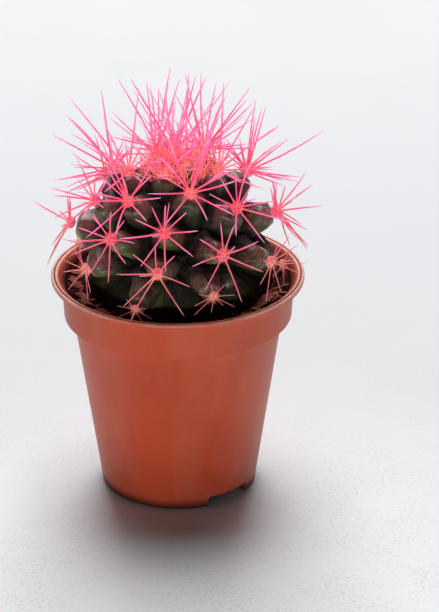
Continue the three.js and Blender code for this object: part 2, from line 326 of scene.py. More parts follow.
class Finish:
    # one material, with its shader and the place on the piece ready for use
    def __init__(self, name):
        self.material = bpy.data.materials.new(name)
        self.material.use_nodes = True
        self.tree = self.material.node_tree
        self.shader = self.tree.nodes["Principled BSDF"]
        self.place = self.node("ShaderNodeTexCoord", output="Object")
        self.colour = None

    def node(self, kind, settings=None, inputs=None, output=0):
        made = self.tree.nodes.new(kind)
        for key, value in (settings or {}).items():
            if key == "stops":
                ramp = made.color_ramp
                while len(ramp.elements) < len(value):
                    ramp.elements.new(0.5)
                for element, (position, colour) in zip(ramp.elements, value):
                    element.position = position
                    element.color = (*fromHex(colour), 1)
            else:
                setattr(made, key, value)
        for key, value in (inputs or {}).items():
            plug(self.tree, made.inputs[key], value)
        return Wire(self.tree, made.outputs[output])

    def noise(self, perMetre, detail, roughness=0.55, place=None):
        return self.node("ShaderNodeTexNoise", {}, {
            "Vector": place or self.place, "Scale": perMetre, "Detail": detail, "Roughness": roughness})

    def cells(self, perMetre):
        return self.node("ShaderNodeTexVoronoi", {}, {"Vector": self.place, "Scale": perMetre}, "Distance")

    def vector(self, operation, first, second=(0, 0, 0), output="Vector"):
        return self.node("ShaderNodeVectorMath", {"operation": operation}, {0: first, 1: second}, output)

    def stretched(self, x, y, z):
        return self.vector("MULTIPLY", self.place, (x, y, z))

    def awayFrom(self, x, y):
        # how far a point is from an upright line
        moved = self.vector("SUBTRACT", self.place, (x, y, 0))
        return self.vector("LENGTH", self.vector("MULTIPLY", moved, (1, 1, 0)), output="Value")

    def split(self, channel):
        return self.node("ShaderNodeSeparateXYZ", {}, {0: self.place}, channel)

    def attribute(self, name):
        return self.node("ShaderNodeAttribute", {"attribute_name": name}, output="Fac")

    def mix(self, share, first, second):
        return self.node("ShaderNodeMix", {"data_type": "RGBA"}, {0: share, 6: first, 7: second}, 2)

    def tint(self, share, colour):
        # a share of another colour over the present one
        self.colour = self.mix(share, self.colour, colour)

    def ramp(self, value, *stops):
        return self.node("ShaderNodeValToRGB", {"stops": stops}, {0: value})

    def bump(self, height, distance, strength, under=None):
        inputs = {"Height": height, "Distance": distance * mm, "Strength": strength}
        if under:
            inputs["Normal"] = under
        return self.node("ShaderNodeBump", {}, inputs)

    def wear(self, **sockets):
        plug(self.tree, self.shader.inputs["Base Color"], self.colour)
        for key, value in sockets.items():
            plug(self.tree, self.shader.inputs[key.replace("_", " ")], value)
        return self.material


# camera

cameraShape = {
    "distance": 650.0,  # from the point of the pot's axis that is aimRise over the surface
    "aimRise": 24.785,
    "elevation": 26.45,
    "pitch": 25.14,
    "yaw": -0.89,
    "focalPixels": 2948.0,
    "imageHeight": 612,
}


def placeCamera(shape):
    lens = bpy.data.cameras.new("camera")
    lens.sensor_width = 36
    lens.lens = shape["focalPixels"] / shape["imageHeight"] * lens.sensor_width
    lens.clip_start = 0.05
    lens.clip_end = 20
    camera = bpy.data.objects.new("camera", lens)
    slope = math.radians(shape["elevation"])
    camera.location = inPlace((
        0, -shape["distance"] * math.cos(slope), shape["aimRise"] + shape["distance"] * math.sin(slope)))
    camera.rotation_euler = (math.radians(90 - shape["pitch"]), 0, math.radians(shape["yaw"]))
    bpy.context.scene.collection.objects.link(camera)
    bpy.context.scene.camera = camera


placeCamera(cameraShape)
print("camera placed")

# the plant's rule of growth

rule = {
    "bellyRadius": 22.6, "bellyHeight": 57.35, "capRise": 18.1, "bellyDrop": 21.45,
    "skinTilt": 114.0, "bumpDepth": 6.0, "bumpSharp": 3.0,
    "goldenTurn": 137.508, "firstTurn": 12.36, "firstTilt": 33.7, "tiltStep": 3.126,
    "firstBump": -10, "lastCushion": 24, "lastBump": 31,
    "rowLag": 24.0, "lagTilt": 80.0, "lagSpan": 30.0, "lagLean": 0.57, "lagBack": -175.0, "lagFade": 55.0,
    "gap": 0.3, "cushionRadius": 1.25, "cushionHeight": 1.5, "spineRadius": 0.38, "spineClear": 0.16,
    "wallClear": 0.8, "soilClear": 0.6, "skinClear": 0.9, "skinFrom": 2.5,
    "crownTilt": 20.0, "domeTilt": 16.5, "domeEdge": 0.5,
    "youngSpread": 11.8, "bellySpread": 9.4, "oldSpread": 4.8,
    "bellyTilt": 38, "bellySpan": 22, "oldTilt": 86, "oldSpan": 18,
    "ringStray": 9, "ringLength": (0.88, 1.1), "centralStray": 50, "centralLength": (0.78, 1.15),
    # a spine that would cross another piece is swung aside a little, then lifted, then grown shorter
    "shares": (1, 0.86, 0.72, 0.58), "lifts": (0, 0.12, 0.26),
    "swings": (0, 0.09, -0.09, 0.18, -0.18, 0.28, -0.28),
}
soilRule = {"top": 45.4, "lumps": 0.7, "collarInside": 24.5, "rim": 49.5}
habits = [
    {"above": 20, "ring": 7, "lift": (12, 46), "central": 5, "reach": 17, "lean": 0.75, "rise": 0.1},
    {"above": 48, "ring": 9, "lift": (8, 26), "central": 5, "reach": 18, "lean": 0.6, "rise": 0.05},
    {"above": 72, "ring": 9, "lift": (8, 24), "central": 2, "reach": 11, "lean": 0.45, "rise": 0.1},
    {"above": 86, "ring": 8, "lift": (8, 24), "central": 1, "reach": 9.4, "lean": 0.3, "rise": 0},
    {"above": 180, "ring": 8, "lift": (8, 24), "central": 1, "reach": 6, "lean": 0.3, "rise": 0},
]


class SeededDraw:
    # the same draws as the solids' source makes
    def __init__(self, seed):
        self.state = seed

    def between(self, low, high):
        self.state = (self.state * 16807) % 2147483647
        return low + (high - low) * (self.state / 2147483647)


def smoothStep(x):
    t = np.clip(x, 0, 1)
    return t * t * (3 - 2 * t)


def around(turn, radius, height):
    a = np.radians(turn)
    return np.stack([radius * np.sin(a), -radius * np.cos(a), height + 0 * a], axis=-1)


def skinPoint(turn, tilt):
    t = np.radians(tilt)
    rise = np.where(np.cos(t) > 0, rule["capRise"], rule["bellyDrop"]) * np.cos(t)
    return around(turn, rule["bellyRadius"] * np.sin(t), rule["bellyHeight"] + rise)


def skinNormal(turn, tilt):
    t = np.radians(tilt)
    reach = np.where(np.cos(t) > 0, rule["capRise"], rule["bellyDrop"])
    normal = around(turn, reach * np.sin(t), rule["bellyRadius"] * np.cos(t))
    return normal / np.linalg.norm(normal, axis=-1, keepdims=True)


def spiralPlace(n):
    tilt = rule["firstTilt"] + rule["tiltStep"] * n
    raw = rule["firstTurn"] - rule["goldenTurn"] * n
    turn = raw - 360 * math.floor(raw / 360 + 0.5)
    age = smoothStep((tilt - rule["lagTilt"] - rule["lagLean"] * turn) / rule["lagSpan"])
    lag = rule["rowLag"] * age * smoothStep((turn - rule["lagBack"]) / rule["lagFade"])
    return turn + lag, tilt


bumpPlaces = [spiralPlace(n) for n in range(rule["firstBump"], rule["lastBump"] + 1)]
bumps = np.array([skinPoint(turn, tilt) for turn, tilt in bumpPlaces])


def nearestBumps(points):
    # distances to the nearest and the second nearest tip, and which tip is nearest
    away = np.linalg.norm(points[:, None, :] - bumps[None], axis=-1)
    order = np.argpartition(away, 1, axis=1)
    rows = np.arange(len(points))
    one, two = away[rows, order[:, 0]], away[rows, order[:, 1]]
    first = np.where(one <= two, order[:, 0], order[:, 1])
    return np.minimum(one, two), np.maximum(one, two), first


def bumpInset(points, tilt):
    # how far the solid's skin lies under the tips
    nearest, second, first = nearestBumps(points)
    depth = rule["bumpDepth"] * (0.45 + 0.55 * smoothStep((tilt - 10) / 30))
    return depth * (1 - (second - nearest) / (second + nearest)) ** rule["bumpSharp"]


def soilHeight(x, y):
    broad = np.sin(0.7 * x + 1.3) * np.cos(0.62 * y)
    small = np.sin(1.2 * y + 0.4) * np.cos(1.05 * x + 2)
    return soilRule["top"] + soilRule["lumps"] * (0.6 * broad + 0.4 * small)


def heightOverSkin(points):
    radius = radiusOf(points)
    rise = points[:, 2] - rule["bellyHeight"]
    reach = np.where(rise > 0, rule["capRise"], rule["bellyDrop"])
    tilt = np.degrees(np.arctan2(radius / rule["bellyRadius"], rise / reach))
    scale = np.hypot(radius / rule["bellyRadius"], rise / reach)
    skin = skinPoint(turnOf(points), tilt)
    toSkin = np.linalg.norm(skin - [0, 0, rule["bellyHeight"]], axis=1)
    return (scale - 1) * toSkin + bumpInset(skin, tilt)


def inPot(points):
    low = points[:, 2] <= soilRule["rim"] + rule["wallClear"]
    atWall = radiusOf(points) > soilRule["collarInside"] - rule["wallClear"]
    inSoil = points[:, 2] < soilRule["top"] + soilRule["lumps"] + rule["soilClear"]
    return low & (atWall | inSoil)


def unit(vector):
    return vector / np.linalg.norm(vector)


def overSkin(cushion, angle):
    # the way over the skin, at an angle from uphill
    return cushion["uphill"] * math.cos(angle) + cushion["sideways"] * math.sin(angle)


class Growth:
    # all cushions and the spines grown so far, as straight lines
    def __init__(self):
        self.cushions = []
        self.starts = []
        self.ends = []
        self.owners = []
        for n in range(rule["firstBump"], rule["lastCushion"] + 1):
            turn, tilt = spiralPlace(n)
            normal = skinNormal(turn, tilt)
            stand = rule["gap"] + rule["cushionHeight"] / 2
            if tilt < rule["domeTilt"]:
                stand += rule["domeEdge"]
            uphill = unit(up - normal * normal[2])
            self.cushions.append({
                "centre": skinPoint(turn, tilt) + normal * stand, "tilt": tilt, "spines": [],
                "normal": normal, "uphill": uphill, "sideways": np.cross(normal, uphill)})
        self.centres = np.array([cushion["centre"] for cushion in self.cushions])

    def gapsTo(self, start, end, others):
        # the least gap to each of the other spines, which all taper to a point
        a, b = np.array(self.starts)[others], np.array(self.ends)[others]
        da, db, r = end - start, b - a, start - a
        aa, bb = da @ da, np.einsum("ij,ij->i", db, db)
        ab, ar, br = db @ da, r @ da, np.einsum("ij,ij->i", db, r)
        cross = aa * bb - ab * ab
        safe = np.where(cross > 1e-9, cross, 1)
        s = np.where(cross > 1e-9, np.clip((ab * br - ar * bb) / safe, 0, 1), 0)
        t = np.clip((ab * s + br) / bb, 0, 1)
        s = np.clip((ab * t - ar) / aa, 0, 1)
        near, far = start + da * s[:, None], a + db * t[:, None]
        return np.linalg.norm(near - far, axis=1) - rule["spineRadius"] * (2 - s - t)

    def isClear(self, owner, start, end):
        # of the pot, the soil, the skin, the other spines and the other cushions
        way = end - start
        length = np.linalg.norm(way)
        along = np.arange(2, length + 0.5, 1.0)
        points = start + way * np.minimum(1, along / length)[:, None]
        if inPot(points).any():
            return False
        if (heightOverSkin(points)[along > rule["skinFrom"]] < rule["skinClear"]).any():
            return False
        others = np.array(self.owners) != owner
        if others.any() and (self.gapsTo(start, end, others) < rule["spineClear"]).any():
            return False
        share = np.clip((self.centres - start) @ way / length ** 2, 0, 1)
        off = np.linalg.norm(start + way * share[:, None] - self.centres, axis=1)
        off[owner] = 99
        return off.min() >= rule["cushionRadius"] + rule["spineRadius"] + rule["gap"]

    def grow(self, owner, aim, length):
        # a spine is swung, lifted and shortened until it is clear, or left out
        cushion = self.cushions[owner]
        start, normal = cushion["centre"], cushion["normal"]
        aim = unit(aim)
        aside = unit(np.cross(normal, aim))
        for share in rule["shares"]:
            for lift in rule["lifts"]:
                for swing in rule["swings"]:
                    end = start + unit(aim + aside * swing + normal * lift) * length * share
                    if self.isClear(owner, start, end):
                        self.starts.append(start)
                        self.ends.append(end)
                        self.owners.append(owner)
                        cushion["spines"].append((start, end))
                        return

    def bunch(self, owner, draw):
        cushion = self.cushions[owner]
        normal, tilt = cushion["normal"], cushion["tilt"]
        habit = next(habit for habit in habits if tilt < habit["above"])
        spread = rule["youngSpread"]
        for wide, short in (("young", "belly"), ("belly", "old")):
            share = smoothStep((tilt - rule[short + "Tilt"]) / rule[short + "Span"])
            spread -= (rule[wide + "Spread"] - rule[short + "Spread"]) * share
        ring, central = habit["ring"], habit["central"]
        ringStray, centralStray = rule["ringStray"], rule["centralStray"]
        firstAngle = draw.between(0, 360 / ring)
        for i in range(ring):
            angle = math.radians(firstAngle + 360 / ring * i + draw.between(-ringStray, ringStray))
            lift = math.tan(math.radians(draw.between(*habit["lift"])))
            length = spread * (0.9 - 0.2 * math.cos(angle)) * draw.between(*rule["ringLength"])
            self.grow(owner, overSkin(cushion, angle) + normal * lift, length)
        for i in range(central):
            angle = math.radians(draw.between(-centralStray, centralStray) + 360 / central * i)
            aim = normal + up * habit["rise"] + overSkin(cushion, angle) * habit["lean"]
            self.grow(owner, aim, habit["reach"] * draw.between(*rule["centralLength"]))


growth = Growth()
spineDraw = SeededDraw(20)
for number in range(len(growth.cushions)):
    growth.bunch(number, spineDraw)
crownCushions = [cushion for cushion in growth.cushions if cushion["tilt"] < rule["crownTilt"]]
sideCushions = [cushion for cushion in growth.cushions if cushion["tilt"] >= rule["crownTilt"]]
print("growth:", len(growth.owners), "spines on", len(growth.cushions), "cushions")

# pot

potShape = {
    "sides": 192,
    "height": 49.5, "lipRadius": 27.5, "lipHeight": 1.1, "lipInner": 26.0,
    "collarRadius": 25.2, "collarFoot": 24.8, "collarDrop": 9.8, "stepRise": 0.6,
    "bodyTopRadius": 22.8, "footRadius": 17.0, "wall": 0.7, "footWidth": 1.3,
    "floorLow": 1.5, "floorHigh": 2.3,
    "grooveDepth": 0.28, "grooveHalf": 0.17,
    "notchHeight": 2.6, "notchWidth": 11.0, "notchReach": 3.0, "notchTurn": 40.0, "notchRound": 0.6,
    # how far its edges are rounded
    "lipRound": 0.36, "innerRound": 0.5, "grooveRound": 0.1, "collarRound": 0.28, "footRound": 0.5,
    "stepRound": 0.5, "cupRound": 0.6,
}


def makePot(shape):
    top, lip, lipInner, wall = shape["height"], shape["lipRadius"], shape["lipInner"], shape["wall"]
    step, lipLow = top - shape["collarDrop"], top - shape["lipHeight"]
    collar, collarFoot = shape["collarRadius"], shape["collarFoot"]
    foot, bodyTop, floorHigh = shape["footRadius"], shape["bodyTopRadius"], shape["floorHigh"]
    footInside = foot - shape["footWidth"]
    slope = (bodyTop - foot) / step
    groove, half = (lip + lipInner) / 2, shape["grooveHalf"]
    underStep = (collarFoot, step + shape["stepRise"] / 2)
    insideLip = (collar - wall, top - shape["lipHeight"] * 1.5)
    insideStep = (collarFoot - wall, step + wall + shape["stepRise"])
    insideWall = (foot + slope * step - wall, step + wall)
    insideFloor = (foot + slope * floorHigh - wall, floorHigh)
    pot = drawOut([
        (fanRadius, shape["floorLow"]), (footInside, shape["floorLow"]), (footInside, 0), (foot, 0),
        (bodyTop, step), underStep, (collar, lipLow), (lip, lipLow), (lip, top),
        (groove + half, top), (groove, top - shape["grooveDepth"]), (groove - half, top), (lipInner, top),
        insideLip, insideStep, insideWall, insideFloor, (fanRadius, floorHigh),
    ], shape["sides"], "nursery_pot")
    for rings, width, segments in (
            ([(lip, top), (lip, lipLow)], "lipRound", 4),
            ([(lipInner, top)], "innerRound", 4),
            ([(groove + half, top), (groove - half, top)], "grooveRound", 2),
            ([underStep, (collar, lipLow)], "collarRound", 3),
            ([(foot, 0)], "footRound", 4),
            ([(bodyTop, step), insideLip], "stepRound", 3),
            ([insideFloor, insideWall, insideStep], "cupRound", 3)):
        roundRings(pot, rings, shape[width], segments)
    cutters = []
    for turn in (shape["notchTurn"], shape["notchTurn"] + 180):
        clearSelection()
        bpy.ops.mesh.primitive_cube_add(
            size=1, location=inPlace(around(turn, foot, 0)), rotation=(0, 0, math.radians(turn)),
            scale=(shape["notchWidth"] * mm, shape["notchReach"] * 2 * mm, shape["notchHeight"] * 2 * mm))
        cutter = named("notch_cutter")
        settle(cutter)
        startEditing(cutter)
        bpy.ops.mesh.bevel(offset=shape["notchRound"] * mm, segments=4, affect="EDGES")
        stopEditing()
        cut = pot.modifiers.new("notch", "BOOLEAN")
        cut.operation = "DIFFERENCE"
        cut.solver = "EXACT"
        cut.object = cutter
        cutters.append(cutter)
    applyModifiers(pot)
    for cutter in cutters:
        bpy.data.objects.remove(cutter)
    points = localPoints(pot)
    share = (points[:, 2] - step) / (lipLow - step)
    middle = collarFoot + (collar - collarFoot) * share - wall / 2
    writeAttribute(pot, "inside", (radiusOf(points) < middle) & (points[:, 2] > step + wall / 2))
    smoothUnder(pot, 38)
    return pot


def potPlastic(shape):
    finish = Finish("brick_red_plastic")
    red, deep, dusty = "b8482a", "a83f24", "c07a62"
    pale, dark, shadeBrown = "e2a494", "8a3022", "521c12"
    cloudy = finish.noise(60, 4, 0.6).over(0.35, 0.7)
    flow = finish.noise(90, 3, 0.5, finish.stretched(1, 1, 0.12)).over(0.4, 0.62)
    finish.colour = finish.mix(cloudy * 0.7, red, deep)
    finish.tint(flow * 0.14, dusty)
    height = finish.split("Z")
    dust = finish.noise(1400, 2, 0.6).over(0.62, 0.78)
    lowDust = (1 - height.over(0.0, 0.012)) * finish.noise(300, 3).over(0.4, 0.7)
    finish.tint((dust * 0.16 + lowDust * 0.14).clamped(), dusty)
    # painted shade: the lower wall is darker towards the foot, in patches
    paintedLowShade = (1 - height.over(0.0, 0.016)) * (0.2 + finish.noise(110, 3).over(0.35, 0.65) * 0.14)
    finish.tint(paintedLowShade, shadeBrown)
    # painted shadow: a near-black band along the very foot, with a ragged top edge
    paintedFootShadow = 1 - (height + (finish.noise(400, 3) - 0.5) * 0.0006).over(0.0002, 0.0042)
    finish.tint(paintedFootShadow * paintedFootShadow * 0.92, "1a0a07")
    # the lip is paler: rubbed wear in patches, and a painted highlight that is strongest at its left and
    # right sides; painted shade darkens its groove and the wall inside the pot
    radius = finish.awayFrom(axis.x, axis.y)
    lipFrom, lipTo = (shape["height"] - 0.75) * mm, (shape["height"] - 0.1) * mm
    onLip = height.over(lipFrom, lipTo) * radius.over(0.0258, 0.0264)
    toSide = abs(finish.split("X") - axis.x) / radius
    lipWearAndHighlight = onLip * (0.08 + toSide.over(0.3, 0.85) * 0.62 + finish.noise(240, 3, 0.6).over(0.3, 0.7) * 0.3)
    finish.tint(lipWearAndHighlight, pale)
    # painted shade in the lip's groove
    offGroove = abs(radius / mm - (shape["lipRadius"] + shape["lipInner"]) / 2)
    finish.tint(onLip * (1 - offGroove.over(0.14, 0.34)) * 0.8, dark)
    inside = finish.attribute("inside")
    # painted shade: the wall inside the pot is darkened nearly all over, in patches
    paintedInsideShade = inside * (0.83 + finish.noise(170, 4, 0.65).over(0.35, 0.65) * 0.16)
    finish.tint(paintedInsideShade, shadeBrown)
    ring = finish.noise(700, 2, 0.5, finish.stretched(0.06, 0.06, 1.6))
    grain = finish.noise(5200, 2, 0.6)
    scuffs = finish.noise(500, 5, 0.75, finish.stretched(1, 1, 0.2)).over(0.6, 0.75)
    rough = 0.36 + grain * 0.1 + scuffs * 0.16 + dust * 0.12 + inside * 0.25
    normal = finish.bump(ring, 0.02, 0.6)
    normal = finish.bump(grain, 0.012, 0.7, normal)
    return finish.wear(
        Roughness=rough, Coat_Weight=onLip * 0.3, Coat_Roughness=0.3, Specular_IOR_Level=0.26,
        Subsurface_Weight=0.05, Subsurface_Radius=(0.6, 0.15, 0.08), Subsurface_Scale=0.002, Normal=normal)


pot = makePot(potShape)
keep(pot, "pot_plastic", potPlastic(potShape), "pot")
print("pot:", len(pot.data.polygons), "faces")

# plant body

bodyShape = {
    "segments": 432, "rings": 216,
    "neck": [(15.8, 47.1), (14.6, 45.8)],
    "root": [(14.3, 44.4), (12.4, 42.0), (7.3, 37.6), (3.2, 33.0), (2.24, 24.0)],
    "rootTip": 19.0,
    "pitRadius": 1.7, "pitDepth": 0.35, "pitTilt": 12.0,
    "ripple": 0.34, "broadRipple": 0.36, "fineRipple": 0.95, "fineShare": 0.6,
    "calmRadius": 2.5, "rippleLift": 0.8,
    # a knob is flat to this share of the way to its border, and steep from there
    "flatTop": 0.6, "border": 0.1, "steepShare": 0.6, "slopeSharp": 1.9, "chin": 0.3, "chinReach": 5.0,
    # the oldest knobs, by the soil, have shrunk where they are bare of spines
    "oldTilt": 92.0, "oldSpan": 16.0, "oldShrink": 4.2, "bareFrom": 2.0, "bareSpan": 4.0,
    "youngDepth": 0.3, "youngTilt": 24.0, "youngSpan": 36.0,
    # sharp folds run out from each tip
    "folds": 5, "foldDepth": 0.8, "foldStart": 1.2, "foldSpan": 2.6, "foldTurn": 1.9,
}


def knobRelief(shape, points, tilt):
    # how far the skin lies under the tips, its share of the groove, and where it lies round its tip
    nearest, second, first = nearestBumps(points)
    within = (second - nearest) / (second + nearest)
    steep = 1 - smoothStep((within - shape["border"]) / (shape["flatTop"] - shape["border"]))
    fall = shape["steepShare"] * steep + (1 - shape["steepShare"]) * (1 - within) ** shape["slopeSharp"]
    normals = np.array([skinNormal(*place) for place in bumpPlaces])
    uphill = up - normals * normals[:, 2:3]
    uphill /= np.linalg.norm(uphill, axis=1, keepdims=True)
    sideways = np.cross(normals, uphill)
    above = np.einsum("ij,ij->i", points - bumps[first], uphill[first])
    aside = np.einsum("ij,ij->i", points - bumps[first], sideways[first])
    folds = np.abs(np.sin(shape["folds"] / 2 * np.arctan2(aside, above) + first * shape["foldTurn"]))
    folds = folds * shape["foldDepth"] * smoothStep((nearest - shape["foldStart"]) / shape["foldSpan"])
    grown = smoothStep((tilt - shape["youngTilt"]) / shape["youngSpan"])
    depth = rule["bumpDepth"] * (shape["youngDepth"] + (1 - shape["youngDepth"]) * grown)
    depth = depth * (1 - shape["chin"] * np.clip(above / shape["chinReach"], -1, 1))
    spined = bumps[:rule["lastCushion"] - rule["firstBump"] + 1]
    toSpines = np.linalg.norm(points[:, None, :] - spined[None], axis=-1).min(axis=1)
    old = smoothStep((tilt - shape["oldTilt"]) / shape["oldSpan"])
    old = old * smoothStep((toSpines - shape["bareFrom"]) / shape["bareSpan"])
    return depth * fall + shape["oldShrink"] * old + folds * grown, fall, nearest, above


def makeBody(shape):
    radius, belly = rule["bellyRadius"], rule["bellyHeight"]
    body = addBall("cactus_body", shape["segments"], shape["rings"], radius * mm, inPlace((0, 0, belly)))
    startEditing(body)
    lowest = math.radians(rule["skinTilt"])
    cut = belly + radius * math.cos(lowest)
    bpy.ops.mesh.bisect(plane_co=inPlace((0, 0, cut)), plane_no=(0, 0, 1), clear_inner=True)
    drawRim(body, [(radius * math.sin(lowest), cut), *shape["neck"], *shape["root"]], shape["rootTip"])

    points = localPoints(body)
    flat, rise = radiusOf(points), points[:, 2] - belly
    onSkin = (points[:, 2] > cut - 1e-3) & (np.abs(np.hypot(flat, rise) - radius) < 0.01)
    turn, tilt = turnOf(points), np.degrees(np.arctan2(flat, rise))
    skin, normal = skinPoint(turn, tilt), skinNormal(turn, tilt)
    inset, fall, nearest, above = knobRelief(shape, skin, tilt)
    pit = (1 - smoothStep(nearest / shape["pitRadius"])) * smoothStep(tilt / shape["pitTilt"] - 1)
    waves = noiseAt(skin, shape["broadRipple"]) + shape["fineShare"] * noiseAt(skin, shape["fineRipple"])
    waves = waves * smoothStep(nearest / shape["calmRadius"]) - shape["rippleLift"]
    inset = inset + shape["pitDepth"] * pit - shape["ripple"] * waves
    setLocalPoints(body, np.where(onSkin[:, None], skin - normal * inset[:, None], points))

    # what the colours follow: the grooves, the way uphill from each tip, and the distance to it,
    # with one value each on the neck and the root
    writeAttribute(body, "groove", np.where(onSkin, fall, 0.6))
    writeAttribute(body, "above", np.where(onSkin, above, -6))
    writeAttribute(body, "fromTip", np.where(onSkin, nearest, 9))
    smoothAll(body)
    return body


def plantSkin():
    finish = Finish("waxy_plant_skin")
    groove, above = finish.attribute("groove"), finish.attribute("above")
    fromTip, height = finish.attribute("fromTip"), finish.split("Z")
    dark, green, olive, purple, brown = "28261e", "465434", "869448", "84484a", "a4786a"
    blotch = finish.noise(260, 4, 0.65).over(0.4, 0.62)
    finish.colour = finish.mix(blotch, dark, green)
    low = 1 - height.over(0.054, 0.069)
    high = height.over(0.05, 0.063)
    chin = 1 - above.over(-3.4, 0.2)
    finish.tint((low * chin * finish.noise(240, 3).over(0.28, 0.5)).clamped() * 0.9, olive)
    flush = above.over(-2.2, 1.8) * finish.noise(360, 4, 0.7).over(0.36, 0.58)
    finish.tint((flush * (0.32 + high * 0.58)).clamped(), purple)
    tipFlush = (1 - fromTip.over(1.2, 3.6)) * finish.noise(560, 3, 0.7).over(0.42, 0.66)
    finish.tint(tipFlush * (0.4 + high * 0.3), brown)
    mottle = finish.noise(950, 4, 0.75).over(0.42, 0.66)
    finish.tint(mottle * 0.42, "1c1a16")
    # painted shade: the grooves between the knobs are darkened nearly to black
    finish.tint(groove.over(0.36, 0.84) * 0.94, "080706")
    # painted shade: the skin low by the soil is darkened nearly to black, with a ragged border
    edge = height + (finish.noise(150, 3) - 0.5) * 0.004
    paintedSkirtShade = (1 - edge.over(0.0485, 0.053)) * 0.95
    finish.tint(paintedSkirtShade, "060504")
    # pale corky streaks near the cushions
    streaks = finish.noise(700, 4, 0.7, finish.stretched(1, 1, 0.4)).over(0.6, 0.7)
    cork = (1 - fromTip.over(2.0, 4.8)) * streaks
    dots = 1 - finish.cells(2100).over(0.1, 0.22)
    bloom = finish.noise(120, 5, 0.7).over(0.5, 0.72)
    finish.tint((dots * 0.2 + bloom * 0.06 + cork * 0.46).clamped(), "a8a596")
    grain = finish.noise(2600, 3, 0.6)
    wrinkle = finish.noise(420, 4, 0.6, finish.stretched(1, 1, 0.35))
    rough = 0.4 + bloom * 0.16 + grain * 0.12 + groove * 0.2 + paintedSkirtShade * 0.3
    normal = finish.bump(wrinkle, 0.34, 0.7)
    normal = finish.bump(grain, 0.035, 0.6, normal)
    normal = finish.bump(dots, 0.02, 0.5, normal)
    coat = 0.5 * (1 - groove.over(0.15, 0.6)) * (1 - paintedSkirtShade)
    return finish.wear(
        Roughness=rough, Coat_Weight=coat, Coat_Roughness=0.2, Specular_IOR_Level=0.16, Normal=normal)


body = makeBody(bodyShape)
keep(body, "plant_skin", plantSkin(), "plant_body")
print("plant body:", len(body.data.polygons), "faces")

# spines and wool

spineShape = {
    "sides": 7,
    # radius and height along the spine, both as shares
    "profile": [(0.9, 0.0), (1.25, 0.015), (1.05, 0.07), (1.0, 0.4), (0.9, 0.66), (0.7, 0.84), (0.4, 0.95)],
    "radius": 0.145, "longRadius": 0.2, "longLength": 18, "uneven": (0.88, 1.1), "bow": 0.035,
    "baseOut": 0.35,  # how far from its cushion's middle a spine starts
    # thinner by the soil and in the crown: by how much, from which tilt, and over how many degrees
    "oldThin": 0.5, "oldTilt": 78, "oldSpan": 24, "crownThin": 0.16, "crownTilt": 30, "crownSpan": 15,
}
woolShape = {
    "sides": 3, "profile": [(1.0, 0.0), (0.8, 0.5)],
    "radius": 0.035, "length": (0.6, 1.6), "strands": 90, "bow": 0.16,
    "lift": (-0.1, 1.1), "stray": 0.35, "rootOut": 0.75, "rootSunk": 0.3,
    "padRadius": 1.3, "padHeight": 1.7, "padSunk": 0.28, "padLumps": 0.2, "padGrain": 0.1,
    "oldShrink": 0.3, "oldTilt": 88, "oldSpan": 18,
}


def makePattern(name, shape):
    pattern = drawOut(shape["profile"], shape["sides"], name, 1, Vector((0, 0, 0)))
    points = pointsOf(pattern)
    tip = np.argmax(points[:, 2] * 100 - radiusOf(points))
    points[tip] = (0, 0, 1)
    movePoints(pattern, points)
    writeAttribute(pattern, "along", points[:, 2])
    smoothAll(pattern)
    return pattern


def growCopy(pattern, start, end, radius, draw, bow, mostTurn=6.28):
    # a copy of the pattern runs from start to end, with a bow to one side
    bend, turn = draw.uniform(-bow, bow), draw.uniform(0, mostTurn)
    way = end - start
    heading = unit(way)
    helper = up if abs(heading[2]) < 0.9 else np.array([1.0, 0, 0])
    first = unit(np.cross(heading, helper))
    second = np.cross(heading, first)
    side = first * math.cos(turn) + second * math.sin(turn)
    shares = pointsOf(pattern)
    along = shares[:, 2:3]
    line = start + way * along + side * (bend * np.linalg.norm(way) * 4 * along * (1 - along))
    return layCopy(pattern, line + shares[:, :2] @ np.array([first, second]) * radius)


def spineDye():
    finish = Finish("dyed_spines")
    along, height = finish.attribute("along"), finish.split("Z")
    low = finish.ramp(along, (0.0, "e4ac94"), (0.2, "d47464"), (0.6, "cc505c"), (1.0, "d0848a"))
    high = finish.ramp(along, (0.0, "ff8a78"), (0.14, "f84c6e"), (0.5, "f84e8c"), (1.0, "ff92cc"))
    finish.colour = finish.mix(height.over(0.055, 0.07), low, high)
    finish.tint(height.over(0.074, 0.088) * 0.45, "ff86cc")
    streak = finish.noise(900, 3, 0.6).over(0.4, 0.65)
    finish.tint(streak * 0.25, "ff7f8f")
    washed = finish.noise(520, 3, 0.6, finish.stretched(1, 1, 0.35)).over(0.46, 0.62)
    finish.tint(height.over(0.072, 0.08) * washed * 0.36, "ffb2ca")
    # they are darker and browner by the soil
    finish.tint((1 - height.over(0.0475, 0.0525)) * 0.6, "984a3c")
    grain = finish.noise(4000, 2)
    # painted light: the spines glow faintly in their own colour
    return finish.wear(
        Roughness=0.34 + grain * 0.16, Normal=finish.bump(grain, 0.02, 0.5),
        Subsurface_Weight=0.25, Subsurface_Radius=(1.0, 0.25, 0.4), Subsurface_Scale=0.0008,
        Emission_Color=finish.colour, Emission_Strength=0.32)


def youngDye():
    finish = Finish("young_spines")
    along = finish.attribute("along")
    coral, peach, cream = "f2607a", "fb9c84", "fddcc6"
    tone = finish.noise(1100, 2).over(0.35, 0.65)
    finish.colour = finish.mix((along.over(0.0, 0.6) * 0.7 + tone * 0.3).clamped(), coral, peach)
    finish.tint((along.over(0.35, 0.95) * (0.2 + tone * 0.7)).clamped(), cream)
    grain = finish.noise(4000, 2)
    # painted light: the young needles glow faintly in their own colour
    return finish.wear(
        Roughness=0.4 + grain * 0.2, Normal=finish.bump(grain, 0.02, 0.5),
        Emission_Color=finish.colour, Emission_Strength=0.2)


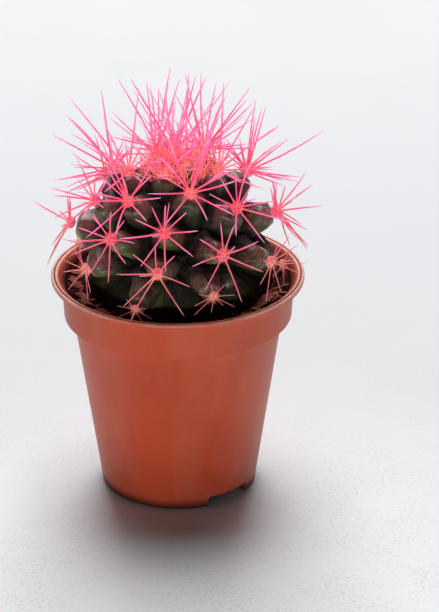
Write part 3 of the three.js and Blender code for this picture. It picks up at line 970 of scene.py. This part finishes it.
def woolFelt():
    # salmon with cream below, hot pink round the belly, peach in the crown
    finish = Finish("dyed_wool")
    height = finish.split("Z")
    salmon, pink, peach, cream = "e88478", "f0446e", "f98c80", "fcdccc"
    finish.colour = finish.mix(height.over(0.054, 0.062), salmon, pink)
    finish.tint(height.over(0.07, 0.0745) * finish.noise(500, 3).over(0.35, 0.55), peach)
    tufts = finish.noise(1700, 3, 0.6).over(0.45, 0.7)
    finish.tint(tufts * 0.2, peach)
    creamy = 0.75 - height.over(0.054, 0.064) * 0.28 + height.over(0.0705, 0.074) * 0.3
    finish.tint(finish.noise(2600, 2).over(0.48, 0.64) * creamy, cream)
    finish.tint((1 - height.over(0.0475, 0.0525)) * 0.5, "984a3c")
    grain = finish.noise(5200, 3, 0.7)
    # painted light: the wool glows faintly in its own colour
    return finish.wear(
        Roughness=0.75 + grain * 0.2, Normal=finish.bump(grain, 0.06, 0.8),
        Emission_Color=finish.colour, Emission_Strength=0.16)


def makePad(cushion, draw):
    # a felted pad, sunk a little into the tip of its bump
    shape, pad = woolShape, addBall("pad", 20, 12)
    points = pointsOf(pad)
    seed = (draw.uniform(0, 50), draw.uniform(0, 50), 0)
    lumps, grain = noiseAt(points, 2.2, seed), noiseAt(points, 6, seed)
    points *= (1 + shape["padLumps"] * lumps + shape["padGrain"] * grain)[:, None]
    shrunk = 1 - shape["oldShrink"] * smoothStep((cushion["tilt"] - shape["oldTilt"]) / shape["oldSpan"])
    wide, tall = shape["padRadius"] * shrunk, shape["padHeight"] / 2 * shrunk
    sides = np.array([cushion["sideways"], cushion["uphill"], cushion["normal"]])
    middle = cushion["centre"] - cushion["normal"] * shape["padSunk"]
    setLocalPoints(pad, middle + points * [wide, wide, tall] @ sides)
    writeAttribute(pad, "along", np.zeros(len(points)))
    smoothAll(pad)
    return pad


def strayed(aim, draw, most):
    return unit(aim + np.array([draw.gauss(0, most) for direction in "xyz"]))


def makeWool(cushion, draw):
    shape, strands = woolShape, []
    for i in range(shape["strands"]):
        turn, lift = draw.uniform(0, 2 * math.pi), draw.uniform(*shape["lift"])
        out = overSkin(cushion, math.pi / 2 - turn)
        aim = unit(out * math.cos(lift) + cushion["normal"] * math.sin(lift))
        start = cushion["centre"] - cushion["normal"] * shape["rootSunk"] + aim * shape["rootOut"]
        length = draw.uniform(*shape["length"])
        end = start + strayed(aim, draw, shape["stray"]) * length
        strands.append(growCopy(patterns["wool"], start, end, shape["radius"], draw, shape["bow"]))
    return strands


def makeCushion(name, cushion, draw):
    shape, tilt, spines = spineShape, cushion["tilt"], []
    age = smoothStep((tilt - shape["oldTilt"]) / shape["oldSpan"])
    youth = smoothStep((shape["crownTilt"] - tilt) / shape["crownSpan"])
    thinned = (1 - shape["oldThin"] * age) * (1 - shape["crownThin"] * youth)
    for start, end in cushion["spines"]:
        share = min(1, np.linalg.norm(end - start) / shape["longLength"])
        radius = shape["radius"] + (shape["longRadius"] - shape["radius"]) * share
        radius *= draw.uniform(*shape["uneven"]) * thinned
        base = start + unit(end - start) * shape["baseOut"]
        spines.append(growCopy(patterns["spine"], base, end, radius, draw, shape["bow"]))
    wool = [makePad(cushion, draw), *makeWool(cushion, draw)]
    paint(spines, finishes["spine"])
    paint(wool, finishes["wool"])
    return joinAll(spines + wool, name)


patterns = {"spine": makePattern("spine_pattern", spineShape), "wool": makePattern("wool_pattern", woolShape)}
finishes = {"spine": spineDye(), "young": youngDye(), "wool": woolFelt()}
cushionDraw = random.Random(7)
for number, cushion in enumerate(sideCushions, 1):
    piece = makeCushion("areole_%02d" % number, cushion, cushionDraw)
    keep(piece, "spines", None, "spine_cushion_%02d" % number)
print("cushions:", len(sideCushions))

# crown

crownShape = {
    "segments": 144, "rings": 64,
    "spread": 20.0, "felt": (-1.1, 0.9), "frayed": 3.5, "tuft": 0.9, "tuftRadius": 2.6,
    "frayScale": 2.2, "underside": -0.9,
    "strands": 800, "strandSpread": 21.6, "strandRoot": (-0.1, 0.4), "strandStray": 0.6,
    "strandLength": (0.5, 1.4), "strandBow": 0.2,
    # short young needles, still pale: how many, lean from the skin's normal, length and thickness
    "young": 210, "youngSpread": 21.0, "youngLean": 0.45, "youngLength": (1.8, 5.6),
    "youngRadius": (0.06, 0.1), "youngBow": 0.08,
    # fine spines between the others: how many, lift from the skin, length and thickness
    "fineSpines": 16, "fineLift": (20, 75), "fineLength": (7.0, 14.0), "fineRadius": (0.09, 0.13),
    "fineRoot": 0.4, "fineBow": 0.04,
}


def makeFelt(shape):
    # a thin felt that follows the young knobs and frays at its edge
    felt = addBall("felt", shape["segments"], shape["rings"])
    points = pointsOf(felt)
    turn, out = turnOf(points), np.clip(radiusOf(points), 0, 1)
    frays = noiseAt(around(180 - turn, shape["frayScale"], 0.5))
    tilt = (shape["spread"] + shape["frayed"] * frays) * out
    skin, normal = skinPoint(turn, tilt), skinNormal(turn, tilt)
    inset, fall, nearest, above = knobRelief(bodyShape, skin, tilt)
    lumps = 0.5 + noiseAt(skin, 1.1) + 0.4 * noiseAt(skin, 3)
    thin, thick = shape["felt"]
    cover = (thin + (thick - thin) * lumps) * np.sqrt(np.clip(1 - out ** 6, 0, 1))
    # it is thickest on the tips, and thin between them towards its edge
    cover += shape["tuft"] * (0.5 - smoothStep(nearest / shape["tuftRadius"])) * out
    height = np.where(points[:, 2] > 0, cover, shape["underside"]) - inset
    setLocalPoints(felt, skin + normal * height[:, None])
    writeAttribute(felt, "along", np.zeros(len(points)))
    smoothAll(felt)
    return felt


def placeInCrown(draw, spread):
    # a place on the skin, its normal, and how far the knobs lie under it
    turn, tilt = draw.uniform(0, 360), spread * math.sqrt(draw.random())
    skin = skinPoint(turn, tilt)
    inset = float(knobRelief(bodyShape, skin[None], np.array([tilt]))[0][0])
    return skin, skinNormal(turn, tilt), inset


def makeCrown(shape):
    draw = random.Random(11)
    bunches = [makeCushion("bunch", cushion, draw) for cushion in crownCushions]
    felt = makeFelt(shape)
    strands, young, spines = [], [], []
    for i in range(shape["strands"]):
        skin, normal, inset = placeInCrown(draw, shape["strandSpread"])
        start = skin + normal * (draw.uniform(*shape["strandRoot"]) - inset)
        end = start + strayed(normal, draw, shape["strandStray"]) * draw.uniform(*shape["strandLength"])
        strands.append(growCopy(patterns["wool"], start, end, woolShape["radius"], draw, shape["strandBow"]))
    for i in range(shape["young"]):
        skin, normal, inset = placeInCrown(draw, shape["youngSpread"])
        aim = strayed(normal, draw, shape["youngLean"])
        start = skin - normal * inset
        end = start + aim * (inset + draw.uniform(*shape["youngLength"]))
        radius = draw.uniform(*shape["youngRadius"])
        young.append(growCopy(patterns["spine"], start, end, radius, draw, shape["youngBow"]))
    for i in range(shape["fineSpines"]):
        cushion = crownCushions[i % len(crownCushions)]
        angle, lift = draw.uniform(0, 2 * math.pi), math.radians(draw.uniform(*shape["fineLift"]))
        aim = overSkin(cushion, angle) * math.cos(lift) + cushion["normal"] * math.sin(lift)
        start = cushion["centre"] + aim * shape["fineRoot"]
        end = start + aim * draw.uniform(*shape["fineLength"])
        radius = draw.uniform(*shape["fineRadius"])
        spines.append(growCopy(patterns["spine"], start, end, radius, draw, shape["fineBow"]))
    paint([felt, *strands], finishes["wool"])
    paint(young, finishes["young"])
    paint(spines, finishes["spine"])
    return joinAll([*bunches, felt, *strands, *young, *spines], "crown")


crown = makeCrown(crownShape)
keep(crown, "spines", None, "crown_tuft")
print("crown:", len(crown.data.polygons), "faces")

# soil

earthShape = {
    "sides": 224, "rings": 34, "roughness": 0.42,
    # the soil's own radii, a little inside the pot, and how far it reaches under the plant's neck
    "floorRadius": 16.3, "stepRadius": 21.7, "collarGap": 0.35, "underNeck": 0.6, "rootGap": 0.3,
    "floorGap": 0.3, "shoulderLow": 0.9, "shoulderHigh": 1.6, "shoulderIn": 0.3,
    "crumbs": 950, "crumbSize": (0.3, 0.95), "crumbShrink": (0.5, 1), "crumbWidth": (0.6, 1),
    "crumbHeight": (0.5, 0.9), "crumbLumps": 0.55, "crumbRing": (15.2, 23.9), "crumbLift": (-0.2, 0.35),
    "fibres": 150, "fibreLength": (2.2, 7.5), "fibreRadius": (0.07, 0.2), "fibreBow": 0.12,
    "fibreRing": (16.2, 23.0), "fibreEnds": (15.4, 23.6), "fibreLift": (0.25, 0.5),
    # slivers of bark lie at the sides: turn from and to, and how many
    "sliverPlaces": [(34, 118, 44), (-44, -128, 44), (125, 235, 20)], "sliverRing": (18.2, 23.2),
    "sliverLength": (2.2, 5.6), "sliverWidth": (0.7, 2.1), "sliverThick": (0.3, 0.7),
    "sliverPitch": 32, "sliverRoll": 50, "sliverCurl": 0.05, "sliverWave": 0.16, "longWave": 0.3,
    "sliverLift": 0.35, "sliverSunk": 0.9, "sliverBevel": 0.12, "sliverTorn": (0.34, 0.48),
    # they are kept off the wall and under the rim
    "wallReach": 23.9, "underRim": 48.8,
    # long ones that lean on the wall: both ends, width and thickness
    "longSlivers": [
        ((18.6, -6.6, 47.3), (24.0, -5.0, 48.7), 0.75, 0.45),
        ((18.9, -6.4, 47.4), (22.6, -9.6, 47.5), 0.7, 0.4),
        ((21.0, -5.2, 47.0), (23.6, -8.6, 48.2), 0.9, 0.4),
        ((16.2, -13.6, 47.1), (19.9, -9.2, 48.0), 2.9, 0.9),
        ((22.9, -1.0, 47.3), (22.3, -6.0, 48.0), 0.9, 0.5),
        ((-22.6, -3.2, 47.0), (-19.6, -8.4, 46.9), 1.6, 0.8),
        ((-23.3, -0.5, 48.3), (-20.2, -3.4, 46.8), 1.3, 0.6),
    ],
    # at the sides the soil is banked up against the wall
    "bankRise": 2.0, "bankFrom": 18.5, "bankTo": 23.5, "bankSide": 0.5, "bankBlend": 0.35,
}


def groundAt(x, y):
    shape, radius = earthShape, np.hypot(x, y) + 1e-9
    side = smoothStep((abs(x) / radius - shape["bankSide"]) / shape["bankBlend"])
    bank = side * smoothStep((radius - shape["bankFrom"]) / (shape["bankTo"] - shape["bankFrom"]))
    rough = noise.fractal(Vector((x * 0.55, y * 0.55, 3.1)), 0.6, 2.1, 5)
    return float(soilHeight(x, y) + shape["bankRise"] * bank) + shape["roughness"] * rough


def makeEarth(shape):
    outer, top = soilRule["collarInside"] - shape["collarGap"], soilRule["top"]
    neck = bodyShape["neck"][-1][0] - shape["underNeck"]
    floor = potShape["floorHigh"] + shape["floorGap"]
    step = potShape["height"] - potShape["collarDrop"]
    profile = [
        (fanRadius, floor), (shape["floorRadius"], floor),
        (shape["stepRadius"], step + shape["shoulderLow"]),
        (outer - shape["shoulderIn"], step + shape["shoulderHigh"]), (outer, top)]
    for i in range(1, shape["rings"] + 1):
        profile.append((outer + (neck - outer) * i / shape["rings"], top))
    profile += [(radius + shape["rootGap"], height) for radius, height in bodyShape["root"]]
    earth = drawOut(profile, shape["sides"], "potting_soil")
    points = localPoints(earth)
    onTop = np.abs(points[:, 2] - top) < 0.01
    points[onTop, 2] = [groundAt(x, y) for x, y in points[onTop, :2]]
    setLocalPoints(earth, points)
    smoothAll(earth)
    return earth


def makeCrumbs(shape):
    pattern = addBall("crumb_pattern", 8, 6)
    smoothAll(pattern)
    draw = random.Random(3)
    crumbs = []
    nearest, farthest = shape["crumbRing"]
    for i in range(shape["crumbs"]):
        size = draw.uniform(*shape["crumbSize"]) * draw.uniform(*shape["crumbShrink"])
        radius = draw.uniform(nearest, farthest - size)
        place = around(draw.uniform(0, 360), radius, 0)
        points = pointsOf(pattern)
        points *= (1 + shape["crumbLumps"] * noiseAt(points, 1.3, (i * 1.7, 0, 0)))[:, None]
        turn, pole = draw.uniform(0, 6.28), Vector((draw.random(), draw.random(), 1))
        points = points @ np.array(Matrix.Rotation(turn, 3, pole.normalized()))
        points *= [1, draw.uniform(*shape["crumbWidth"]), draw.uniform(*shape["crumbHeight"])]
        points *= size
        place[2] = groundAt(place[0], place[1]) + size * draw.uniform(*shape["crumbLift"])
        crumbs.append(layCopy(pattern, points + place))
    bpy.data.objects.remove(pattern)
    return joinAll(crumbs, "soil_crumbs")


def makeFibres(shape):
    draw = random.Random(5)
    fibres = []
    nearest, farthest = shape["fibreEnds"]
    for i in range(shape["fibres"]):
        length = draw.uniform(*shape["fibreLength"])
        middle = around(draw.uniform(0, 360), draw.uniform(*shape["fibreRing"]), 0)
        heading = draw.uniform(0, 2 * math.pi)
        half = np.array([math.cos(heading), math.sin(heading), 0]) * length / 2
        ends = [middle - half, middle + half]
        for end in ends:
            flat = np.hypot(end[0], end[1])
            end[:2] *= min(1, farthest / flat) * max(1, nearest / flat)
            end[2] = groundAt(end[0], end[1]) + abs(draw.gauss(*shape["fibreLift"]))
        radius = draw.uniform(*shape["fibreRadius"])
        fibres.append(growCopy(patterns["spine"], *ends, radius, draw, shape["fibreBow"], 3.14))
    return joinAll(fibres, "soil_fibres")


def makeSlivers(shape):
    clearSelection()
    bpy.ops.mesh.primitive_cube_add(size=1, location=(0, 0, 0))
    pattern = named("sliver_pattern")
    settle(pattern)
    startEditing(pattern)
    bpy.ops.mesh.bevel(offset=shape["sliverBevel"], segments=1, affect="EDGES")
    bpy.ops.mesh.subdivide(number_cuts=2)
    stopEditing()
    blank = pointsOf(pattern)
    tornFrom, tornTo = shape["sliverTorn"]
    writeAttribute(pattern, "edge", smoothStep((np.abs(blank[:, 1]) - tornFrom) / (tornTo - tornFrom)))
    blank[:, 1:] *= 1 - 2 * blank[:, 0:1] ** 2
    draw = random.Random(9)
    slivers = []
    for fromTurn, toTurn, count in shape["sliverPlaces"]:
        for i in range(count):
            size = [draw.uniform(*shape[key]) for key in ("sliverLength", "sliverWidth", "sliverThick")]
            place = around(draw.uniform(fromTurn, toTurn), draw.uniform(*shape["sliverRing"]), 0)
            pose = Matrix.Rotation(draw.uniform(0, 6.28), 3, "Z")
            for key, pole in (("sliverPitch", "Y"), ("sliverRoll", "X")):
                pose = pose @ Matrix.Rotation(math.radians(draw.uniform(-shape[key], shape[key])), 3, pole)
            points = blank * size
            points[:, 2] += shape["sliverCurl"] * draw.uniform(-1, 1) * points[:, 0] ** 2
            points[:, 1] += shape["sliverWave"] * noiseAt(points * [1, 0, 0], 1, (0, i * 3.7, 0))
            points = points @ np.array(pose).T
            place[2] = groundAt(place[0], place[1]) + shape["sliverLift"]
            place[2] += max(0, -points[:, 2].min() - shape["sliverSunk"])
            points = points + place
            points[:, :2] -= unit(place[:2]) * max(0, radiusOf(points).max() - shape["wallReach"])
            points[:, 2] -= max(0, points[:, 2].max() - shape["underRim"])
            slivers.append(layCopy(pattern, points))
    for start, end, width, thick in shape["longSlivers"]:
        way = np.array(end) - start
        length, across = np.linalg.norm(way), unit(np.cross(up, way))
        points = blank * [1, width, thick]
        points[:, 1] += shape["longWave"] * noiseAt(blank * [2.5, 0, 0], 1, (0, length, 0))
        points = points @ np.array([way, across, np.cross(way / length, across)])
        slivers.append(layCopy(pattern, start + way / 2 + points))
    bpy.data.objects.remove(pattern)
    made = joinAll(slivers, "soil_slivers")
    smoothUnder(made, 35)
    return made


def darkEarth():
    finish = Finish("dark_potting_soil")
    black, brown, rust = "120605", "45190f", "94412b"
    clods = finish.noise(420, 5, 0.7).over(0.35, 0.7)
    finish.colour = finish.mix(clods, black, brown)
    finish.tint(finish.noise(1700, 3, 0.7).over(0.62, 0.74) * 0.6, rust)
    grain = finish.noise(2600, 5, 0.75)
    normal = finish.bump(finish.noise(900, 5, 0.75), 0.4, 0.9)
    normal = finish.bump(grain, 0.12, 0.9, normal)
    return finish.wear(Roughness=0.72 + grain * 0.25, Specular_IOR_Level=0.06, Normal=normal)


def strawFibre():
    finish = Finish("reddish_fibre")
    dark, rust, straw = "6a2a1c", "c0664a", "e8b090"
    tone = finish.noise(260, 3, 0.6)
    finish.colour = finish.mix(tone.over(0.3, 0.6), dark, rust)
    finish.tint(finish.noise(420, 2).over(0.55, 0.7) * 0.6, straw)
    grain = finish.noise(3800, 3)
    return finish.wear(Roughness=0.6 + grain * 0.3, Normal=finish.bump(grain, 0.05, 0.8))


def dryBark():
    finish = Finish("dry_bark")
    brown, red, pale = "541a10", "a84430", "e8a488"
    layers = finish.noise(600, 4, 0.7, finish.stretched(1, 0.35, 2.5))
    finish.colour = finish.mix(layers.over(0.35, 0.65), brown, red)
    torn = finish.attribute("edge") * finish.noise(900, 2, 0.6).over(0.3, 0.6) * 0.7
    finish.tint((torn + finish.noise(1300, 3, 0.7).over(0.58, 0.72) * 0.5).clamped(), pale)
    grain = finish.noise(3000, 4, 0.7)
    normal = finish.bump(layers, 0.25, 0.8)
    normal = finish.bump(grain, 0.08, 0.8, normal)
    return finish.wear(Roughness=0.68 + grain * 0.25, Normal=normal)


earth = makeEarth(earthShape)
keep(earth, "soil", darkEarth(), "soil")
crumbs = keep(makeCrumbs(earthShape), "soil", earth.data.materials[0])
keep(makeFibres(earthShape), "soil", strawFibre())
bark = dryBark()
keep(makeSlivers(earthShape), "bark", bark)
print("soil:", len(earth.data.polygons), "faces,", len(crumbs.data.polygons), "of crumbs")

# bark chips

chipShape = {
    # turn, radius, length, width and heading
    "places": [
        (44, 21.4, 4.6, 2.8, 25), (60, 22.3, 4.2, 2, 5), (79, 21.9, 4.8, 2.4, -30),
        (118, 21.8, 4.6, 2.4, 65), (171, 21.9, 4.2, 2.8, 10), (-54, 21.9, 4.4, 2.2, -15),
        (-74, 22.1, 3.8, 2.4, 20), (-128, 21.7, 5, 2.5, 40)],
    "corners": [(-0.5, -0.35), (0.3, -0.5), (0.5, 0.1), (0.1, 0.5), (-0.4, 0.4)],
    "thickness": 0.9, "rounding": 0.16, "flakes": 0.26, "grain": 0.1,
    "bedded": 0.25,  # how deep it lies in the crumbs
    "torn": (0.3, 0.44),  # from and to these shares of its length, out from its middle, it is torn
}


def makeChip(number, shape):
    low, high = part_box("bark_chip_%d" % number)
    turn, radius, length, width, heading = shape["places"][number - 1]
    clearSelection()
    bpy.ops.mesh.primitive_circle_add(
        vertices=len(shape["corners"]), radius=mm, fill_type="NGON", location=(0, 0, 0))
    chip = named("bark_%d" % number)
    settle(chip)
    middle, angle = around(turn, radius, low.z / mm), math.radians(turn + heading)
    lengthways = np.array([math.cos(angle), math.sin(angle), 0]) * length
    sideways = np.array([-math.sin(angle), math.cos(angle), 0]) * width
    rim = sorted(chip.data.vertices, key=lambda vertex: math.atan2(vertex.co.y, vertex.co.x))
    corners = sorted(shape["corners"], key=lambda corner: math.atan2(corner[1], corner[0]))
    for vertex, (along, across) in zip(rim, corners):
        vertex.co = inPlace(middle + lengthways * along + sideways * across)
    startEditing(chip)
    bpy.ops.mesh.extrude_region_move(TRANSFORM_OT_translate={"value": (0, 0, shape["thickness"] * mm)})
    bpy.ops.mesh.select_all(action="SELECT")
    bpy.ops.mesh.normals_make_consistent(inside=False)
    bpy.ops.mesh.bevel(offset=shape["rounding"] * mm, segments=2, affect="EDGES")
    bpy.ops.mesh.quads_convert_to_tris()
    bpy.ops.mesh.subdivide(number_cuts=3)
    stopEditing()
    points = localPoints(chip)
    seed = (number * 3.1, 0, 0)
    flaky = noiseAt(points * [0.9, 0.9, 3], 1, seed)
    layers = shape["flakes"] * flaky + shape["grain"] * noiseAt(points, 3.2, seed)
    centre = points.mean(axis=0)
    outward = points - centre
    outward /= np.linalg.norm(outward, axis=1, keepdims=True)
    points = points + outward * layers[:, None] - [0, 0, shape["bedded"]]
    setLocalPoints(chip, points)
    tornFrom, tornTo = shape["torn"]
    out = radiusOf(points - centre) / length
    writeAttribute(chip, "edge", smoothStep((out - tornFrom) / (tornTo - tornFrom)))
    smoothUnder(chip, 40)
    return chip


for number in range(1, len(chipShape["places"]) + 1):
    keep(makeChip(number, chipShape), "bark", bark, "bark_chip_%d" % number)
for pattern in patterns.values():
    bpy.data.objects.remove(pattern)
print("bark chips:", len(chipShape["places"]))

# floor and light

studio = {
    "floorSize": 4.0, "world": 0.045,
    "lights": [
        {"name": "back_window", "place": (0.0, 1.42, 2.42), "wide": 1.6, "tall": 3.3, "power": 105},
        {"name": "low_glow", "place": (0.02, 2.7, 1.25), "wide": 4.6, "tall": 0.9, "power": 20},
        {"name": "front_card", "place": (-0.24, -2.0, 0.06), "wide": 3.4, "tall": 0.1, "power": 27},
    ],
}


def paleFloor():
    finish = Finish("pale_floor")
    depth = finish.split("Y")
    # painted shade: the floor is darker behind the pot than in front of it
    finish.colour = finish.mix(depth.over(-0.07, 0.055), "f1f5f7", "dfe0e3")
    finish.tint(depth.over(0.14, 0.34), "e3e4e6")
    finish.tint(finish.noise(9, 5, 0.6).over(0.3, 0.7) * 0.25, "d2d4d9")
    near = 1 - depth.over(-0.12, 0.12)
    grains = finish.noise(1300, 4, 0.75).over(0.48, 0.68) * near
    patchy = 0.2 + finish.noise(38, 4, 0.7).over(0.4, 0.62) * 0.5
    finish.tint(grains * patchy, "a2a5af")
    # painted shadow: a darker, cyan-grey patch before the pot, which also cancels the red light that the
    # plastic throws on the floor
    before = finish.awayFrom(axis.x, axis.y - 0.03)
    finish.tint((1 - before.over(0.003, 0.022)) * 0.5, "a4bfc4")
    return finish.wear(Roughness=0.85)


def makeStudio(shape):
    clearSelection()
    bpy.ops.mesh.primitive_plane_add(size=shape["floorSize"], location=(0, 0, 0))
    floor = named("floor")
    startEditing(floor)
    bpy.ops.mesh.subdivide(number_cuts=8)
    stopEditing()
    floor.data.materials.append(paleFloor())
    world = bpy.data.worlds.new("studio")
    world.use_nodes = True
    background = world.node_tree.nodes["Background"]
    background.inputs["Color"].default_value = (1.0, 0.99, 0.985, 1)
    background.inputs["Strength"].default_value = shape["world"]
    bpy.context.scene.world = world
    aim = inPlace((0, 0, 40))
    for lamp in shape["lights"]:
        light = bpy.data.lights.new(lamp["name"], "AREA")
        light.shape = "RECTANGLE"
        light.size = lamp["wide"]
        light.size_y = lamp["tall"]
        light.energy = lamp["power"]
        holder = bpy.data.objects.new(lamp["name"], light)
        holder.location = lamp["place"]
        holder.rotation_euler = (aim - holder.location).to_track_quat("-Z", "Y").to_euler()
        bpy.context.scene.collection.objects.link(holder)
    bpy.context.scene.view_settings.view_transform = "Standard"


makeStudio(studio)
print("studio ready")
